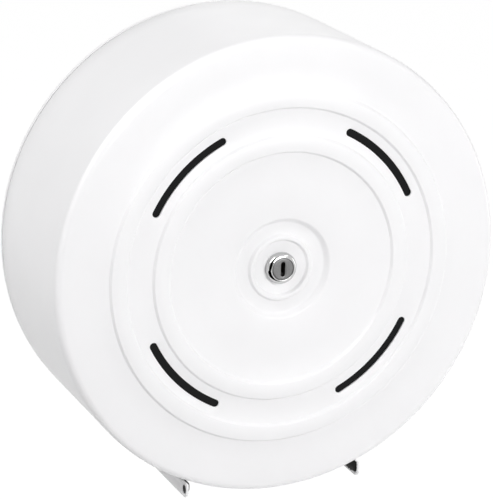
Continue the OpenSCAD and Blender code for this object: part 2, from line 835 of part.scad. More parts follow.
// Toothed washer between the cover and the nut
module lock_washer() {
    teeth = 12;
    rear = recess_back - lock_washer_t;
    color(zinc) on_wall() difference() {
        ring(barrel_d / 2 + part_clear, lock_washer_r, rear, recess_back);
        for (i = [0:teeth - 1])
            rotate(i * 360 / teeth) translate([lock_washer_r - 1, -0.5, rear - over])
                cube([2, 1, lock_washer_t + 2 * over]);
    }
}

module lock_nut() {
    front = recess_back - lock_washer_t;
    color(zinc) on_wall() difference() {
        translate([0, 0, front - nut_t])
            cylinder(r = nut_af / 2 / cos(30), h = nut_t, $fn = 6);
        translate([0, 0, front - nut_t - over])
            cylinder(r = barrel_d / 2 + part_clear, h = nut_t + 2 * over);
    }
}

// A block of the given width and height on the plug's axis
module plug_cut(w, h, rear, front) {
    translate([-w / 2, -h / 2, rear]) cube([w, h, front - rear]);
}

// The turning plug with its keyhole, a stem and a square end for the cam
module lock_plug() {
    rim = 0.5;
    key_end = barrel_rear + 1;
    mouth = 2.4;
    color(chrome) on_wall() difference() {
        union() {
            turned([[0, barrel_rear], [plug_r, barrel_rear], [plug_r, head_top - plug_head_t],
                    [plug_face_r, head_top - plug_head_t], [plug_face_r, head_top - rim],
                    [plug_face_r - rim, head_top], [0, head_top]]);
            translate([0, 0, cam_front]) cylinder(r = stem_r, h = barrel_rear - cam_front + over);
            plug_cut(stem_square, stem_square, cam_rear, cam_front + over);
        }
        // keyhole: a wide mouth, then the narrower way through the wafers
        for (s = [-1, 1])
            translate([0, s * (keyhole_h - keyhole_w) / 2, head_top - mouth])
                cylinder(d = keyhole_w, h = mouth + over);
        plug_cut(keyhole_w, keyhole_h - keyhole_w, head_top - mouth, head_top + over);
        plug_cut(keyway_w, keyway_h, key_end, head_top);
        for (i = [0:wafer_count - 1])
            plug_cut(wafer_w + 2 * part_clear, wafer_l + 2 * part_clear,
                     wafer_depth(i) - part_clear, wafer_depth(i) + wafer_t + part_clear);
        translate([0, 0, cam_rear - over]) cylinder(r = screw_r + part_clear, h = screw_depth + over);
    }
}

module lock_wafers() {
    window = 0.3;
    color(brass) on_wall() for (i = [0:wafer_count - 1])
        difference() {
            plug_cut(wafer_w, wafer_l, wafer_depth(i), wafer_depth(i) + wafer_t);
            translate([0, (i % 2 - 0.5) * window, 0])
                plug_cut(keyway_w, keyway_h - window, wafer_depth(i) - over,
                         wafer_depth(i) + wafer_t + over);
        }
}

// The oblong cam; it lies across, in line with the catch's slot, when unlocked
module lock_cam() {
    hole = stem_square + 2 * part_clear;
    color(zinc) on_wall() difference() {
        intersection() {
            translate([-cam_l / 2, -cam_w / 2, cam_rear]) cube([cam_l, cam_w, cam_t]);
            translate([0, 0, cam_rear]) cylinder(d = cam_l, h = cam_t);
        }
        plug_cut(hole, hole, cam_rear - over, cam_front + over);
    }
}

module cam_washer() {
    color(zinc) on_wall()
        ring(screw_r + part_clear, cam_washer_r, cam_rear - cam_washer_t, cam_rear);
}

module cam_screw() {
    head = cam_rear - cam_washer_t;
    slit = 0.7;
    color(zinc) on_wall() difference() {
        union() {
            translate([0, 0, head]) cylinder(r = screw_r, h = cam_washer_t + screw_depth - over);
            translate([0, 0, head - screw_head_t]) cylinder(r = screw_head_r, h = screw_head_t);
        }
        translate([-screw_head_r - over, -slit / 2, head - screw_head_t - over])
            cube([2 * (screw_head_r + over), slit, over + screw_head_t / 2]);
    }
}

// ---- Nodes ---------------------------------------------------------------------

back_plate();
left_cheek();
right_cheek();
cheek_rivets();
left_tear_blade();
right_tear_blade();
spindle_flange();
flange_rivets();
spindle_tube();
rear_thrust_washer();
front_thrust_washer();
spindle_circlip();
lock_catch();
catch_pin();
roll_hub();
rear_hub_bush();
front_hub_bush();
cover_shell();
sight_window();
window_studs();
window_clips();
lock_body();
lock_washer();
lock_nut();
lock_plug();
lock_wafers();
lock_cam();
cam_washer();
cam_screw();
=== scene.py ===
"""Jumbo toilet roll dispenser: a round white steel drum with four sight slots,
pressed rings and a cam lock, on a wall plate with a spindle and two cheeks.

Lengths are in metres. The drum's axis is the Y axis, the wall is the plane
y = 0, the front looks along -Y and +Z is up. In the drawing functions a
place is given as (across, up, depth) or (radius, depth), where depth is the
distance forward from the wall."""

import math

import bpy
from bpy.props import FloatProperty, FloatVectorProperty, PointerProperty
from mathutils import Matrix, Vector


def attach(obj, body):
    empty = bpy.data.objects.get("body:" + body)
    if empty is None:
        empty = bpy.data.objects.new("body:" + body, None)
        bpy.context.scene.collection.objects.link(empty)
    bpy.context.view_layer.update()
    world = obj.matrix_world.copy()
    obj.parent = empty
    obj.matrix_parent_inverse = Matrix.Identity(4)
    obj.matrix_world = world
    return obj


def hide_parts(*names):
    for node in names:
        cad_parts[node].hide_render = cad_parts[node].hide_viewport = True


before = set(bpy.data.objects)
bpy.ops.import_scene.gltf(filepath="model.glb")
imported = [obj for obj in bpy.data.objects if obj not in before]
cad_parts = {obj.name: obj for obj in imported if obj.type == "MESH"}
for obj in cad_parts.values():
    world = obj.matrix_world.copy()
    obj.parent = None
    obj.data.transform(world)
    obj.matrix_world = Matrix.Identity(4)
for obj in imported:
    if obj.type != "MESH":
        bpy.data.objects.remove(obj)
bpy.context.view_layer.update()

bl_info = {
    "name": "Jumbo Roll Dispenser",
    "version": (1, 0, 0),
    "blender": (4, 5, 0),
    "location": "3D View > Sidebar > Dispenser",
    "description": "Models a round steel jumbo roll dispenser around its packed frame",
    "category": "Object",
}

MM = 0.001
WELD = 0.001 * MM  # vertices that lie closer are merged
FIT = 0.05 * MM  # clearance round a piece that turns or is pushed in
RIVET_HOLE = 1.65 * MM  # radius of the holes for rivets


# ---- Sizes that a user would change ------------------------------------------------


def length(name, description, mm):
    """A length property, given in millimetres."""
    return FloatProperty(name=name, description=description, default=mm * MM, min=0.0,
                         max=400 * MM, unit="LENGTH", subtype="DISTANCE", precision=5)


def colour(name, description, rgb):
    """A colour property."""
    return FloatVectorProperty(name=name, description=description, default=rgb, size=3,
                               min=0.0, max=1.0, subtype="COLOR")


class CoverSizes(bpy.types.PropertyGroup):
    radius: length("Drum radius", "Outside radius of the drum", 156.5)
    depth: length("Depth", "Depth of the flat face", 120)
    sheet: length("Sheet", "Thickness of the steel sheet", 1.2)
    front_round: length("Front rounding", "Radius between face and side wall", 5)
    rear: length("Rear edge", "Depth of the side wall's end", 6)
    outer_ring: length("Outer ring", "Middle radius of the outer raised ring", 114.5)
    inner_ring: length("Inner ring", "Middle radius of the inner raised ring", 85)
    ring_width: length("Ring width", "Width of a raised ring", 13)
    ring_height: length("Ring height", "Height of a raised ring", 2)
    ring_slope: length("Ring slope", "Width of a raised ring's flank", 1.9)
    recess_radius: length("Recess radius", "Outer radius of the middle recess", 35)
    recess_depth: length("Recess depth", "Depth of the middle recess", 3.4)
    recess_slope: length("Recess slope", "Width of the recess's flank", 4.2)
    lock_ring: length("Lock ring", "Middle radius of the ring round the lock", 20.7)
    lock_ring_width: length("Lock ring width", "Width of the small ring", 5.4)
    lock_ring_height: length("Lock ring height", "Height of the small ring", 1.8)
    lock_ring_slope: length("Lock ring slope", "Width of the small ring's flank", 1.9)
    slot_radius: length("Slot radius", "Radius of the slots' centre line", 100)
    slot_width: length("Slot width", "Width of a sight slot", 5.3)
    slot_sweep: FloatProperty(name="Slot sweep", subtype="ANGLE", default=math.radians(36.6),
                              description="Angle between the middles of a slot's round ends")
    outlet_half: length("Outlet half width", "Half the width of the paper outlet", 65.1)
    outlet_front: length("Outlet front", "Depth of the paper outlet", 113)
    outlet_round: length("Outlet corners", "Radius of the outlet's front corners", 8)


class PlateSizes(bpy.types.PropertyGroup):
    sheet: length("Sheet", "Thickness of the back plate", 1.5)
    rim_radius: length("Rim radius", "Outside radius of the rim behind the cover", 156.3)
    rim_height: length("Rim height", "Height of that rim", 4.2)
    collar_radius: length("Collar radius", "Outside radius of the collar in the cover", 154.8)
    collar_top: length("Collar top", "Depth of the collar's end", 14)
    dish_radius: length("Dish radius", "Radius of the raised dish", 58)
    dish_height: length("Dish height", "Height of the raised dish", 5)
    dish_slope: length("Dish slope", "Width of the dish's flank", 6)
    rib_radius: length("Rib radius", "Middle radius of the stiffening ring", 119.82)
    rib_width: length("Rib width", "Width of the stiffening ring", 10)
    rib_height: length("Rib height", "Height of the stiffening ring", 3)
    rib_slope: length("Rib slope", "Width of the stiffening ring's flank", 3.5)
    wall_pitch_x: length("Screw pitch across", "Distance across between wall slots", 170)
    wall_pitch_z: length("Screw pitch up", "Distance up between wall slots", 110)
    wall_slot_width: length("Wall slot width", "Width of a wall slot", 6.5)
    wall_slot_length: length("Wall slot length", "Length of a wall slot", 14)


class CheekSizes(bpy.types.PropertyGroup):
    middle: length("Cheek middle", "Distance from the axis to a cheek's middle", 62.75)
    sheet: length("Sheet", "Thickness of a cheek", 1.5)
    front: length("Front edge", "Depth of the front edge", 119.5)
    below: length("Lower edge", "Distance of the lower edge below the axis", 155.75)
    tongue: length("Front top", "Distance of the tongue's top below the axis", 145.21)
    corner: length("Lower corner", "Radius of the lower front corner", 5)
    lip: length("Lip", "Width of the lip turned inwards at the front", 2.8)
    foot_low: length("Foot", "Distance of the foot's end below the axis", 138.43)
    foot_height: length("Foot height", "Height of the foot", 22)
    foot_width: length("Foot width", "Width of the foot", 13)
    eye: length("Eye", "Diameter of the eyes for the blade's pegs", 6.4)
    eye_below: length("Eye height", "Distance of the eyes below the axis", 150.15)
    blade: length("Blade", "Thickness of a tear blade", 1.2)
    blade_below: length("Blade edge", "Distance of the blade's edge below the axis", 153.55)
    blade_rear: length("Blade rear", "Depth of the blade's rear end", 4)
    blade_corner: length("Blade corner", "Radius of the blade's lower front corner", 4)
    tooth_pitch: length("Tooth pitch", "Distance between the blade's teeth", 3)
    tooth_height: length("Tooth height", "Height of the blade's teeth", 1)


class HubSizes(bpy.types.PropertyGroup):
    radius: length("Hub radius", "Outside radius of the roll hub", 25)
    wall: length("Hub wall", "Wall of the roll hub", 2.5)
    bore: length("Bore", "Radius of the bores for the bushes", 16.475)
    flange_radius: length("Flange radius", "Radius of the hub's rear flange", 48)
    flange: length("Flange", "Thickness of the rear flange", 3)
    web: length("Web", "Thickness of the hub's end webs", 4)
    rear: length("Rear end", "Depth of the hub's rear end", 11.75)
    front: length("Front end", "Depth of the hub's front end", 87.95)


class LockSizes(bpy.types.PropertyGroup):
    head: length("Head diameter", "Diameter of the lock's head", 21.6)
    top: length("Top diameter", "Diameter of the head's flat top", 15.8)
    floor: length("Seat", "Depth of the floor under the head", 116.6)
    head_top: length("Head top", "Depth of the head's front", 121.3)
    edge: length("Edge", "Height of the head's straight side", 1.3)
    face: length("Plug face", "Diameter of the plug's face", 14.8)
    face_height: length("Face height", "Height of the plug's wide front", 3)
    plug: length("Plug", "Diameter of the plug inside the barrel", 11)
    barrel: length("Barrel", "Diameter of the threaded barrel", 16)
    flats: length("Flats", "Distance across the barrel's flats", 14)
    barrel_rear: length("Barrel rear", "Depth of the barrel's rear end", 103)
    keyhole_height: length("Keyhole height", "Height of the keyhole", 10.2)
    keyhole_width: length("Keyhole width", "Width of the keyhole", 3)


class Finishes(bpy.types.PropertyGroup):
    paint: colour("Paint", "White powder coat", (0.9, 0.895, 0.905))
    zinc: colour("Zinc", "Bright zinc plate", (0.62, 0.63, 0.64))
    chrome: colour("Chrome", "Chromed lock head", (0.56, 0.56, 0.56))
    plug: colour("Plug", "Satin plug face", (0.2, 0.2, 0.2))
    # The keyhole colour is painted shade: near black for the dark deep inside the keyhole.
    keyhole: colour("Keyhole", "Greasy inside of the keyhole", (0.012, 0.011, 0.01))
    blade: colour("Blade", "Black moulded blades", (0.01, 0.01, 0.01))
    # The window colour is painted shade: near black for the dark inside of the drum behind the
    # slots.
    window: colour("Window", "Dark smoked window", (0.006, 0.006, 0.0065))
    hub: colour("Hub", "Grey moulded hub", (0.36, 0.38, 0.4))
    nylon: colour("Nylon", "Natural nylon", (0.78, 0.75, 0.66))
    brass: colour("Brass", "Turned brass", (0.62, 0.46, 0.2))


class StageSettings(bpy.types.PropertyGroup):
    floor_height: FloatProperty(name="Floor height", description="Height of the floor",
                                default=-0.9, unit="LENGTH", subtype="DISTANCE")
    ambient: FloatProperty(name="Ambient", description="Even light from all round",
                           default=0.12, min=0.0, max=2.0)
    lamp_level: FloatProperty(name="Lamp level", description="Common factor of all lamps",
                              default=1.0, min=0.0, max=10.0)
    lens: FloatProperty(name="Lens", description="Focal length", default=177.5,
                        min=10.0, max=400.0, unit="CAMERA")


# ---- Drawing by hand ----------------------------------------------------------------


def place(across, up, depth):
    """A point of the part's frame from across, up and depth."""
    return Vector((across, -depth, up))


def eased(x):
    """Smooth step from 0 to 1 as x goes from 0 to 1."""
    return 0.0 if x <= 0 else 1.0 if x >= 1 else (1 - math.cos(math.pi * x)) / 2


def raised(r, middle, width, height, slope):
    """Height at radius r of a raised ring with a flat crest."""
    return height * eased((width / 2 - abs(r - middle)) / slope)


def steps_between(start, width, count=9):
    """Evenly spaced radii over a flank."""
    return [start + width * i / count for i in range(count + 1)]


def ring_radii(middle, width, slope):
    """Radii at which a raised ring is drawn."""
    return (steps_between(middle - width / 2, slope)
            + steps_between(middle + width / 2 - slope, slope))


def arc(centre, radius, start, end, count=8, height=None):
    """Points of an arc, in degrees, in a drawing plane; with a height it is elliptic."""
    turns = [math.radians(start + (end - start) * i / count) for i in range(count + 1)]
    return [(centre[0] + radius * math.cos(a), centre[1] + (height or radius) * math.sin(a))
            for a in turns]


def rectangle(left, right, low, high):
    """Corners of a rectangle in a drawing plane."""
    return [(left, low), (right, low), (right, high), (left, high)]


def upright(outline, depth):
    """An outline of (across, up) points, placed at a depth."""
    return [place(x, z, depth) for x, z in outline]


def sideways(outline, across):
    """An outline of (depth, up) points, placed beside the middle plane."""
    return [place(across, z, d) for d, z in outline]


def clear_selection():
    """Leaves edit mode and deselects everything."""
    if bpy.context.object and bpy.context.object.mode != "OBJECT":
        bpy.ops.object.mode_set(mode="OBJECT")
    bpy.ops.object.select_all(action="DESELECT")


def take(piece):
    """Makes a piece the only selected and active one."""
    clear_selection()
    piece.select_set(True)
    bpy.context.view_layer.objects.active = piece


def edit(piece):
    """Opens a piece in edit mode with all of it selected."""
    take(piece)
    bpy.ops.object.mode_set(mode="EDIT")
    bpy.ops.mesh.select_all(action="SELECT")


def done():
    """Leaves edit mode."""
    bpy.ops.object.mode_set(mode="OBJECT")


def apply_placing():
    """Turns the active piece's place, turn and scale into its mesh."""
    bpy.ops.object.transform_apply(location=True, rotation=True, scale=True)


def tidy_mesh(piece):
    """Merges doubles and turns all faces outwards."""
    edit(piece)
    bpy.ops.mesh.remove_doubles(threshold=WELD)
    bpy.ops.mesh.normals_make_consistent(inside=False)
    done()


def flip(piece):
    """Turns all faces the other way."""
    edit(piece)
    bpy.ops.mesh.flip_normals()
    done()


def draw(name, points, closed=False):
    """Draws a chain of edges by extruding a single vertex from point to point."""
    clear_selection()
    bpy.ops.mesh.primitive_plane_add(size=MM)
    piece = bpy.context.object
    piece.name = piece.data.name = name
    bpy.ops.object.mode_set(mode="EDIT")
    bpy.ops.mesh.select_all(action="SELECT")
    bpy.ops.mesh.merge(type="CENTER")
    bpy.ops.transform.translate(value=points[0])
    path = list(points) + ([points[0]] if closed else [])
    for here, there in zip(path, path[1:]):
        bpy.ops.mesh.extrude_vertices_move(TRANSFORM_OT_translate={"value": there - here})
    bpy.ops.mesh.select_all(action="SELECT")
    if closed:
        bpy.ops.mesh.remove_doubles(threshold=WELD)
    return piece


def lathe(name, profile, steps, closed=False):
    """Spins a profile of (radius, depth) points about the drum's axis."""
    piece = draw(name, [place(r, 0, d) for r, d in profile], closed)
    bpy.ops.mesh.spin(steps=steps, angle=2 * math.pi, center=(0, 0, 0), axis=(0, 1, 0))
    done()
    tidy_mesh(piece)
    return piece


def plate(name, points, along):
    """Fills a closed outline and extrudes it into a flat plate."""
    piece = draw(name, points, closed=True)
    bpy.ops.mesh.edge_face_add()
    bpy.ops.mesh.extrude_region_move(TRANSFORM_OT_translate={"value": along})
    done()
    tidy_mesh(piece)
    return piece


def rod(name, start, end, radius, steps=32):
    """A round bar between two points that lie along one axis."""
    clear_selection()
    along = end - start
    turn = along.to_track_quat("Z", "Y").to_euler()
    bpy.ops.mesh.primitive_cylinder_add(vertices=steps, radius=radius, depth=along.length,
                                        location=(start + end) / 2, rotation=turn)
    piece = bpy.context.object
    piece.name = piece.data.name = name
    apply_placing()
    return piece


def pin(name, across, up, rear, front, radius, steps=32):
    """A round bar along the depth, for a hole or a pin."""
    return rod(name, place(across, up, rear), place(across, up, front), radius, steps)


def joined(name, pieces):
    """Joins pieces into one mesh."""
    clear_selection()
    for piece in pieces:
        piece.select_set(True)
    bpy.context.view_layer.objects.active = pieces[0]
    bpy.ops.object.join()
    whole = bpy.context.object
    whole.name = whole.data.name = name
    return whole


def thicken(piece, sheet):
    """Gives a surface its sheet thickness, on its inner side."""
    take(piece)
    bpy.ops.object.modifier_add(type="SOLIDIFY")
    wall = piece.modifiers[-1]
    wall.thickness = sheet
    wall.offset = -1
    wall.use_even_offset = True
    bpy.ops.object.modifier_apply(modifier=wall.name)


def combine(piece, tool, operation="DIFFERENCE"):
    """Cuts a tool out of a piece, or joins it to the piece, and clears the tool away."""
    take(piece)
    bpy.ops.object.modifier_add(type="BOOLEAN")
    boolean = piece.modifiers[-1]
    boolean.operation = operation
    boolean.solver = "EXACT"
    boolean.object = tool
    bpy.ops.object.modifier_apply(modifier=boolean.name)
    bpy.data.objects.remove(tool)


def soften(piece, width, sharp=60, segments=2):
    """Rounds a piece's sharp edges, which turn by more than the angle given in degrees."""
    edit(piece)
    bpy.ops.mesh.remove_doubles(threshold=20 * WELD)
    bpy.ops.mesh.select_all(action="DESELECT")
    bpy.ops.mesh.select_mode(type="EDGE")
    bpy.ops.mesh.edges_select_sharp(sharpness=math.radians(sharp))
    bpy.ops.mesh.bevel(offset=width, segments=segments, profile=0.5, clamp_overlap=True)
    bpy.ops.mesh.select_mode(type="VERT")
    done()


def turn_about_axis(piece, angle):
    """Turns a piece about the drum's axis and applies the turn."""
    take(piece)
    piece.rotation_euler = (0, angle, 0)
    apply_placing()


def mirrored(piece, name):
    """A copy of a piece on the other side of the middle plane."""
    take(piece)
    bpy.ops.object.duplicate()
    twin = bpy.context.object
    twin.name = twin.data.name = name
    twin.scale = (-1, 1, 1)
    apply_placing()
    tidy_mesh(twin)
    return twin


def hand_over(piece, body, node, material):
    """Gives a finished piece its shading, finish and body, and hides the CAD node it stands in for.
    """
    take(piece)
    apply_placing()
    bpy.ops.object.shade_smooth_by_angle(angle=math.radians(35))
    piece.data.materials.clear()
    piece.data.materials.append(material)
    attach(piece, body)
    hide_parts(node)
    clear_selection()


# ---- Finishes -----------------------------------------------------------------------


def add_node(tree, kind, inputs=None, **settings):
    """Adds a shader node with its settings; an input is a constant or a link."""
    node = tree.nodes.new(kind)
    for key, value in settings.items():
        setattr(node, key, value)
    feed(tree, node, inputs or {})
    return node


def feed(tree, node, inputs):
    """Sets or links a node's inputs."""
    for key, value in inputs.items():
        if isinstance(value, bpy.types.NodeSocket):
            tree.links.new(value, node.inputs[key])
        else:
            node.inputs[key].default_value = value


class Recipe:
    """A material that is put together from nodes on Object coordinates."""

    def __init__(self, name, metallic=0.0, specular=0.5):
        self.material = bpy.data.materials.new(name)
        self.material.use_nodes = True
        self.tree = self.material.node_tree
        self.shader = self.tree.nodes["Principled BSDF"]
        feed(self.tree, self.shader, {"Metallic": metallic, "Specular IOR Level": specular})
        self.place = add_node(self.tree, "ShaderNodeTexCoord").outputs["Object"]

    def add(self, kind, inputs, **settings):
        return add_node(self.tree, kind, inputs, **settings).outputs

    def stretched(self, scale):
        return self.add("ShaderNodeMapping", {"Vector": self.place, "Scale": scale})["Vector"]

    def noise(self, scale, detail=3.0, rough=0.55, vector=None):
        inputs = {"Vector": vector or self.place, "Scale": scale, "Detail": detail,
                  "Roughness": rough}
        return self.add("ShaderNodeTexNoise", inputs)["Fac"]

    def cells(self, scale):
        inputs = {"Vector": self.place, "Scale": scale}
        return self.add("ShaderNodeTexVoronoi", inputs, feature="SMOOTH_F1")["Distance"]

    def range(self, value, low, high, start=0.3, end=0.7):
        inputs = {"Value": value, "From Min": start, "From Max": end, "To Min": low, "To Max": high}
        return self.add("ShaderNodeMapRange", inputs)["Result"]

    def maths(self, operation, a, b=0.0):
        return self.add("ShaderNodeMath", {0: a, 1: b}, operation=operation)["Value"]

    def blend(self, factor, low, high):
        """A colour between two colours or sockets."""
        low, high = (value if isinstance(value, bpy.types.NodeSocket) else (*value, 1)
                     for value in (low, high))
        inputs = {"Factor": factor, 6: low, 7: high}
        return self.add("ShaderNodeMix", inputs, data_type="RGBA")[2]

    def radius_from_axis(self):
        """Distance from the drum's axis, in metres."""
        axes = self.add("ShaderNodeSeparateXYZ", {"Vector": self.place})
        x2, z2 = (self.maths("MULTIPLY", axes[axis], axes[axis]) for axis in ("X", "Z"))
        return self.maths("SQRT", self.maths("ADD", x2, z2))

    def waves(self, rings):
        """Fine concentric waves, given in radians per metre of radius."""
        return self.maths("SINE", self.maths("MULTIPLY", self.radius_from_axis(), rings))

    def coat(self, colour, roughness):
        feed(self.tree, self.shader, {"Base Color": colour, "Roughness": roughness})

    def bump(self, height, distance, strength=1.0, under=None):
        inputs = {"Height": height, "Distance": distance, "Strength": strength}
        if under:
            inputs["Normal"] = under
        normal = self.add("ShaderNodeBump", inputs)["Normal"]
        feed(self.tree, self.shader, {"Normal": normal})
        return normal


def scaled(rgb, factor):
    """A lighter or darker version of a colour."""
    return tuple(min(1.0, channel * factor) for channel in rgb)


def powder_coat(rgb):
    """Glossy white powder coat: a faint orange peel, slight changes of tone."""
    mix = Recipe("white_powder_coat")
    cloud = mix.range(mix.noise(14, 2), 0, 1)
    mix.coat(mix.blend(cloud, scaled(rgb, 0.985), scaled(rgb, 1.01)),
             mix.range(mix.noise(60, 3), 0.30, 0.38))
    peel = mix.bump(mix.noise(330, 1.5, 0.4), 0.012 * MM, 0.8)
    mix.bump(mix.noise(1500, 2), 0.003 * MM, 0.5, peel)
    return mix.material


def zinc_plate(rgb):
    """Bright zinc: cloudy, with fine drawing lines and a faint blue and straw tint."""
    mix = Recipe("bright_zinc", metallic=1.0)
    cloud = mix.range(mix.noise(90, 4), 0, 1)
    base = mix.blend(cloud, scaled(rgb, 0.82), scaled(rgb, 1.08))
    tint = mix.range(mix.noise(45, 2), 0, 0.5)
    mix.coat(mix.blend(tint, base, (rgb[0] * 1.02, rgb[1] * 0.98, rgb[2] * 0.86)),
             mix.range(mix.noise(160, 3), 0.24, 0.42))
    lines = mix.noise(900, 3, 0.6, mix.stretched((1, 0.06, 1)))
    mix.bump(lines, 0.006 * MM, 0.5)
    return mix.material


def bright_chrome(rgb):
    """Chromed head: nearly mirror smooth, with painted shade, dark and dull, on the bore round the
    plug.
    """
    mix = Recipe("polished_chrome", metallic=1.0)
    # Painted shade: inside radius 7.5 mm the chrome turns near black and dull, standing in for the
    # shade in the gap round the plug.
    shade_start, shade_end = 7.5 * MM, 7.62 * MM
    painted_groove_shade = mix.range(mix.radius_from_axis(), 0, 1, shade_start, shade_end)
    bright = mix.blend(mix.range(mix.noise(250, 2), 0, 1), scaled(rgb, 0.93), scaled(rgb, 1.05))
    fine = mix.range(mix.noise(700, 4), 0.07, 0.15)
    mix.coat(mix.blend(painted_groove_shade, (0.02, 0.02, 0.02), bright),
             mix.maths("ADD", fine, mix.range(painted_groove_shade, 0.4, 0.0, 0, 1)))
    mix.bump(mix.noise(1200, 2), 0.001 * MM, 0.4)
    return mix.material


def satin_plug(rgb):
    """Turned plug face: concentric tool marks over a cast grain."""
    mix = Recipe("satin_plug", metallic=1.0)
    marks = mix.waves(26000)
    grain = mix.noise(2600, 3, 0.65)
    tone = mix.maths("ADD", mix.range(grain, 0.15, 0.85), mix.range(marks, -0.15, 0.15, -1, 1))
    mix.coat(mix.blend(tone, scaled(rgb, 0.62), scaled(rgb, 1.45)), mix.range(grain, 0.28, 0.5))
    under = mix.bump(marks, 0.004 * MM, 0.6)
    mix.bump(grain, 0.03 * MM, 0.6, under)
    return mix.material


def moulded(name, rgb, grain_scale, low, high, grain_height, specular=0.5):
    """Moulded plastic: fine spark grain with faint flow marks."""
    mix = Recipe(name, specular=specular)
    flow = mix.noise(26, 3, 0.5, mix.stretched((1, 0.4, 1)))
    mix.coat(mix.blend(mix.range(flow, 0, 1), scaled(rgb, 0.9), scaled(rgb, 1.1)),
             mix.range(mix.noise(300, 3), low, high))
    under = mix.bump(mix.cells(grain_scale), grain_height, 0.5)
    mix.bump(mix.noise(grain_scale * 1.7, 2), grain_height * 0.5, 0.5, under)
    return mix.material


def turned_brass(rgb):
    """Turned brass: fine rings and light tarnish."""
    mix = Recipe("turned_brass", metallic=1.0)
    stain = mix.range(mix.noise(130, 4), 0, 1)
    mix.coat(mix.blend(stain, scaled(rgb, 0.7), scaled(rgb, 1.08)),
             mix.range(mix.noise(420, 3), 0.22, 0.42))
    mix.bump(mix.waves(15000), 0.004 * MM, 0.5)
    return mix.material


def finishes(context):
    """Makes every finish once and returns them by name."""
    names = {"paint": "white_powder_coat", "zinc": "bright_zinc", "chrome": "polished_chrome",
             "plug": "satin_plug", "keyhole": "keyhole_painted_shade", "blade": "black_moulding",
             "window": "window_painted_shade", "hub": "grey_moulding", "nylon": "natural_nylon",
             "brass": "turned_brass"}
    known = bpy.data.materials
    if names["paint"] not in known:
        tones = context.scene.dispenser_finishes
        powder_coat(tones.paint)
        zinc_plate(tones.zinc)
        bright_chrome(tones.chrome)
        satin_plug(tones.plug)
        # Painted shade for the inside of the keyhole.
        moulded("keyhole_painted_shade", tones.keyhole, 700, 0.45, 0.6, 0.01 * MM, 0.2)
        moulded("black_moulding", tones.blade, 900, 0.5, 0.65, 0.015 * MM, 0.12)
        # Painted shade: the near-black window stands in for the dark inside of the drum seen
        # through the slots.
        moulded("window_painted_shade", tones.window, 400, 0.12, 0.2, 0.002 * MM, 0.12)
        moulded("grey_moulding", tones.hub, 1100, 0.34, 0.46, 0.01 * MM)
        moulded("natural_nylon", tones.nylon, 800, 0.38, 0.5, 0.01 * MM)
        turned_brass(tones.brass)
    return {key: known[name] for key, name in names.items()}


# ---- The pieces ---------------------------------------------------------------------


def face_depth(cover, r):
    """Depth of the cover's outer face at radius r."""
    depth = cover.depth - cover.recess_depth * eased((cover.recess_radius - r)
                                                     / cover.recess_slope)
    for middle in (cover.outer_ring, cover.inner_ring):
        depth += raised(r, middle, cover.ring_width, cover.ring_height, cover.ring_slope)
    return depth + raised(r, cover.lock_ring, cover.lock_ring_width, cover.lock_ring_height,
                          cover.lock_ring_slope)


def slot_cutter(cover, angle):
    """A bar with round ends, bent to the slots' circle."""
    half = cover.slot_width / 2
    inner, outer = cover.slot_radius - half, cover.slot_radius + half
    sweep = math.degrees(cover.slot_sweep) / 2
    ends = []
    for turn, first in ((sweep, sweep), (-sweep, 180 - sweep)):
        middle = (cover.slot_radius * math.cos(math.radians(turn)),
                  cover.slot_radius * math.sin(math.radians(turn)))
        ends.append(arc(middle, half, first, first + 180, 10))
    outline = (arc((0, 0), outer, -sweep, sweep, 24)[:-1] + ends[0]
               + arc((0, 0), inner, sweep, -sweep, 24)[1:-1] + ends[1][:-1])
    reach = 4 * MM
    cutter = plate("slot_cutter", upright(outline, cover.depth - reach), place(0, 0, 2 * reach))
    turn_about_axis(cutter, angle)
    return cutter


def outlet_cutter(cover):
    """A block with two rounded corners for the paper outlet."""
    half, front, corner = cover.outlet_half, cover.outlet_front, cover.outlet_round
    rear, top, height = -5 * MM, -100 * MM, 70 * MM
    outline = ([(half, rear)]
               + arc((half - corner, front - corner), corner, 0, 90)
               + arc((corner - half, front - corner), corner, 90, 180) + [(-half, rear)])
    return plate("outlet_cutter", [place(x, top, d) for x, d in outline], place(0, -height, 0))


def barrel_cutter(radius, flats, rear, front):
    """A round bar with two flats, for the lock's hole."""
    reach = math.degrees(math.acos(flats / 2 / radius))
    outline = arc((0, 0), radius, reach, 180 - reach, 24)
    outline += arc((0, 0), radius, 180 + reach, 360 - reach, 24)
    return plate("barrel_cutter", upright(outline, rear), place(0, 0, front - rear))


STEPS = []


def step(kind):
    """Adds an operator to the steps, in the order of this file."""
    STEPS.append(kind)
    return kind


